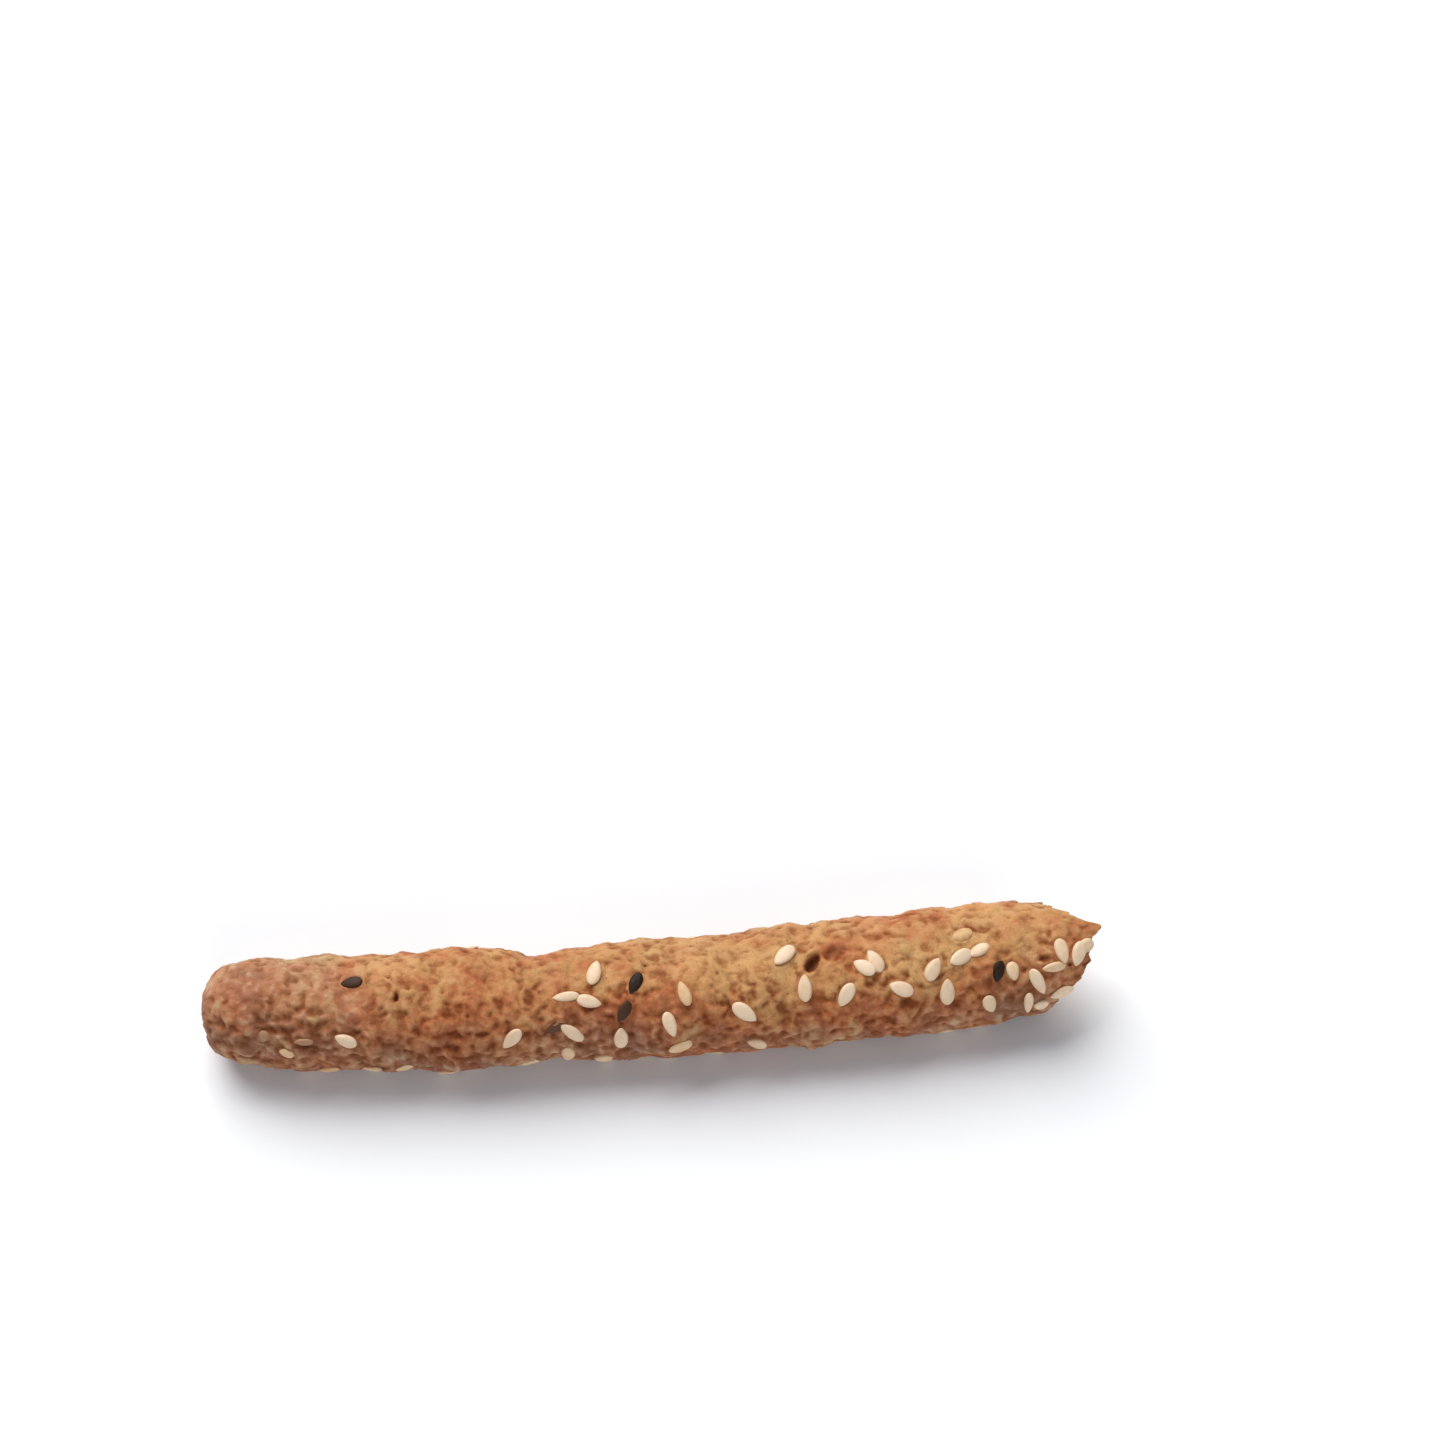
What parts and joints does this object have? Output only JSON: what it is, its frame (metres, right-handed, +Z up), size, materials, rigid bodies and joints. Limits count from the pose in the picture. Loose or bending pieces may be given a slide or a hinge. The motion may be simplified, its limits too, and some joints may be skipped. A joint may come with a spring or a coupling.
{
  "type": "rusk stick",
  "caption": "Slim twice-baked finger of coarse bread, gently bowed, with one rounded end and one end snapped off at a slant, sown with sesame seeds.",
  "frame": {"origin": "centre of the stick's bounding box, at the height of its flat underside", "axes": "+X along the stick from the rounded end to the snapped end, +Y to the back, the hollow side of its bow, +Z up"},
  "size_m": [0.1118, 0.0168, 0.013],
  "materials": {
    "crust": "matte",
    "crumb": "matte",
    "sesame_white": "satin",
    "sesame_black": "satin"
  },
  "bodies": {
    "root": {"rusk_stick": "crust"}
  },
  "joints": []
}
